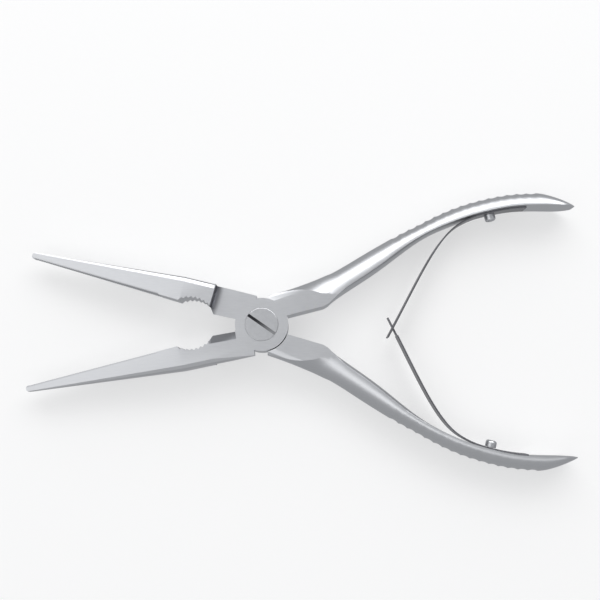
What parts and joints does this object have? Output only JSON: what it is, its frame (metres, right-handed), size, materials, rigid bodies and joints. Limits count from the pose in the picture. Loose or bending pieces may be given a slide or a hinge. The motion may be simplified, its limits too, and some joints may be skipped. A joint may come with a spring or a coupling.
{
  "type": "long-nose spring pliers",
  "caption": "Long-nose pliers with serrated jaws, toothed pipe grip, side cutter beside a screwed lap joint, scalloped curved handles and crossed leaf springs.",
  "frame": {"origin": "on the pivot axis, in the plane of the underside that the tool lies on", "axes": "+Z along the pivot axis towards the screw head, +X from the pivot towards the handles, jaws towards -X, +Y towards the handle of the front half"},
  "size_m": [0.1736, 0.0886, 0.012],
  "materials": {
    "half_steel": "satin ground stainless steel, handles buffed brighter than the flat faces",
    "screw_steel": "turned stainless steel, ground flush",
    "spring_steel": "rolled and tempered spring steel, darker than the halves"
  },
  "bodies": {
    "back_body": {"back_half": "half_steel", "pivot_screw": "screw_steel", "lower_leaf_foot": "spring_steel", "lower_spring_screw": "screw_steel"},
    "front_body": {"front_half": "half_steel", "upper_leaf_foot": "spring_steel", "upper_spring_screw": "screw_steel"},
    "upper_leaf": {"upper_leaf_blade": "spring_steel"},
    "lower_leaf": {"lower_leaf_blade": "spring_steel"}
  },
  "joints": [
    {"name": "pivot", "type": "hinge", "parent": "back_body", "child": "front_body", "pos_m": [0, 0, 0.006], "axis": [0, 0, 1], "range_deg": [-30.8, 0], "stiffness_Nm_per_rad": 1},
    {"name": "upper_leaf_bend", "type": "hinge", "parent": "front_body", "child": "upper_leaf", "pos_m": [0.06324, 0.03399, 0.006], "axis": [0, 0, 1], "range_deg": [-18.8, 0]},
    {"name": "lower_leaf_bend", "type": "hinge", "parent": "back_body", "child": "lower_leaf", "pos_m": [0.06324, -0.03399, 0.006], "axis": [0, 0, 1], "range_deg": [0, 18.8]}
  ],
  "couplings": [
    {"joint": "upper_leaf_bend", "follows": "pivot", "ratio": 0.609},
    {"joint": "lower_leaf_bend", "follows": "pivot", "ratio": -0.609}
  ]
}
